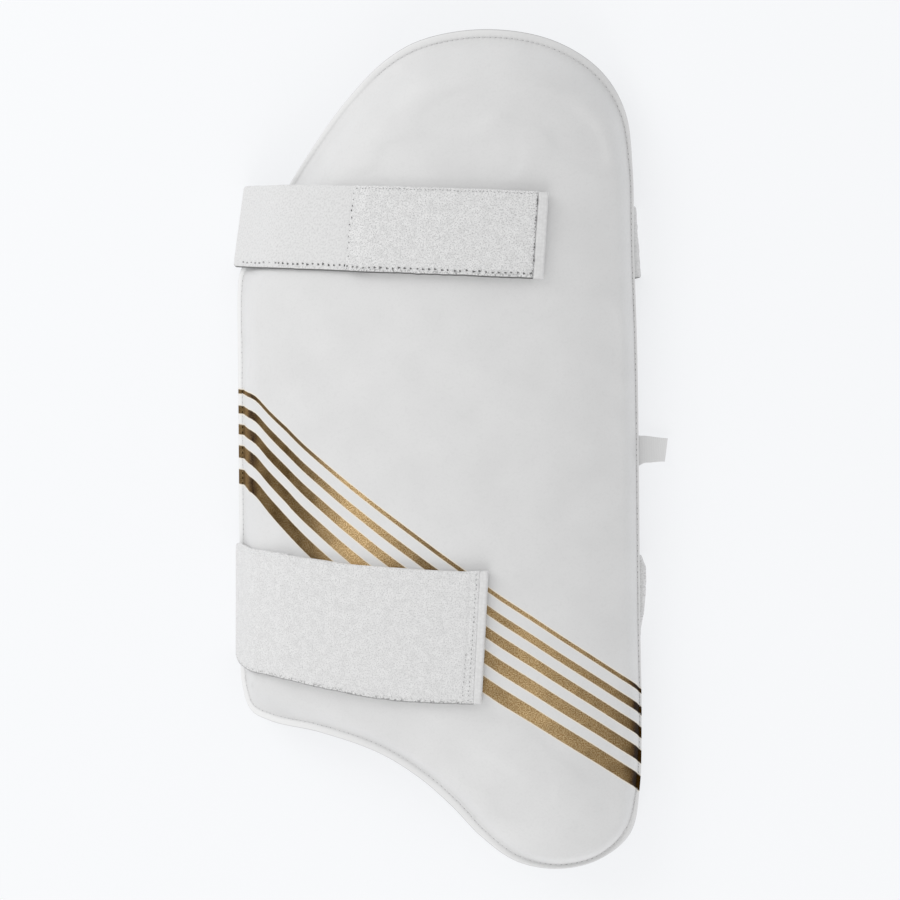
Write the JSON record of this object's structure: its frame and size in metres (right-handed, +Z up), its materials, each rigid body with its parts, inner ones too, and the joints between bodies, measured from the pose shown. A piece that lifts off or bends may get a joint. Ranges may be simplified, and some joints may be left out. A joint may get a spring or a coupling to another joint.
{
  "type": "thigh pad",
  "caption": "Arched foam thigh pad with a domed white face, a sewn rim and a cloth back, lying face up with its touch-fastened elastic straps closed round it.",
  "frame": {"origin": "on the floor under the middle of the whole pad's bounding box", "axes": "+X across the pad toward the edge with the side label, +Y along it toward the waist end, +Z up out of the domed face"},
  "size_m": [0.2056, 0.3756, 0.0544],
  "materials": {
    "face_leather": "fine-grained white coated leather with gold foil stripes",
    "back_cloth": "plain knitted white cloth",
    "elastic_weave": "ribbed woven white elastic",
    "pile_tape": "looped white pile",
    "hook_tape": "smooth white tape with hooks underneath",
    "label_satin": "blank white satin ribbon"
  },
  "bodies": {
    "root": {"pad_face": "face_leather", "pad_back": "back_cloth", "top_strap_elastic": "elastic_weave", "top_strap_pile": "pile_tape", "top_strap_hook": "hook_tape", "bottom_strap_elastic": "elastic_weave", "bottom_strap_pile": "pile_tape", "bottom_strap_hook": "hook_tape", "side_label": "label_satin"}
  },
  "joints": []
}
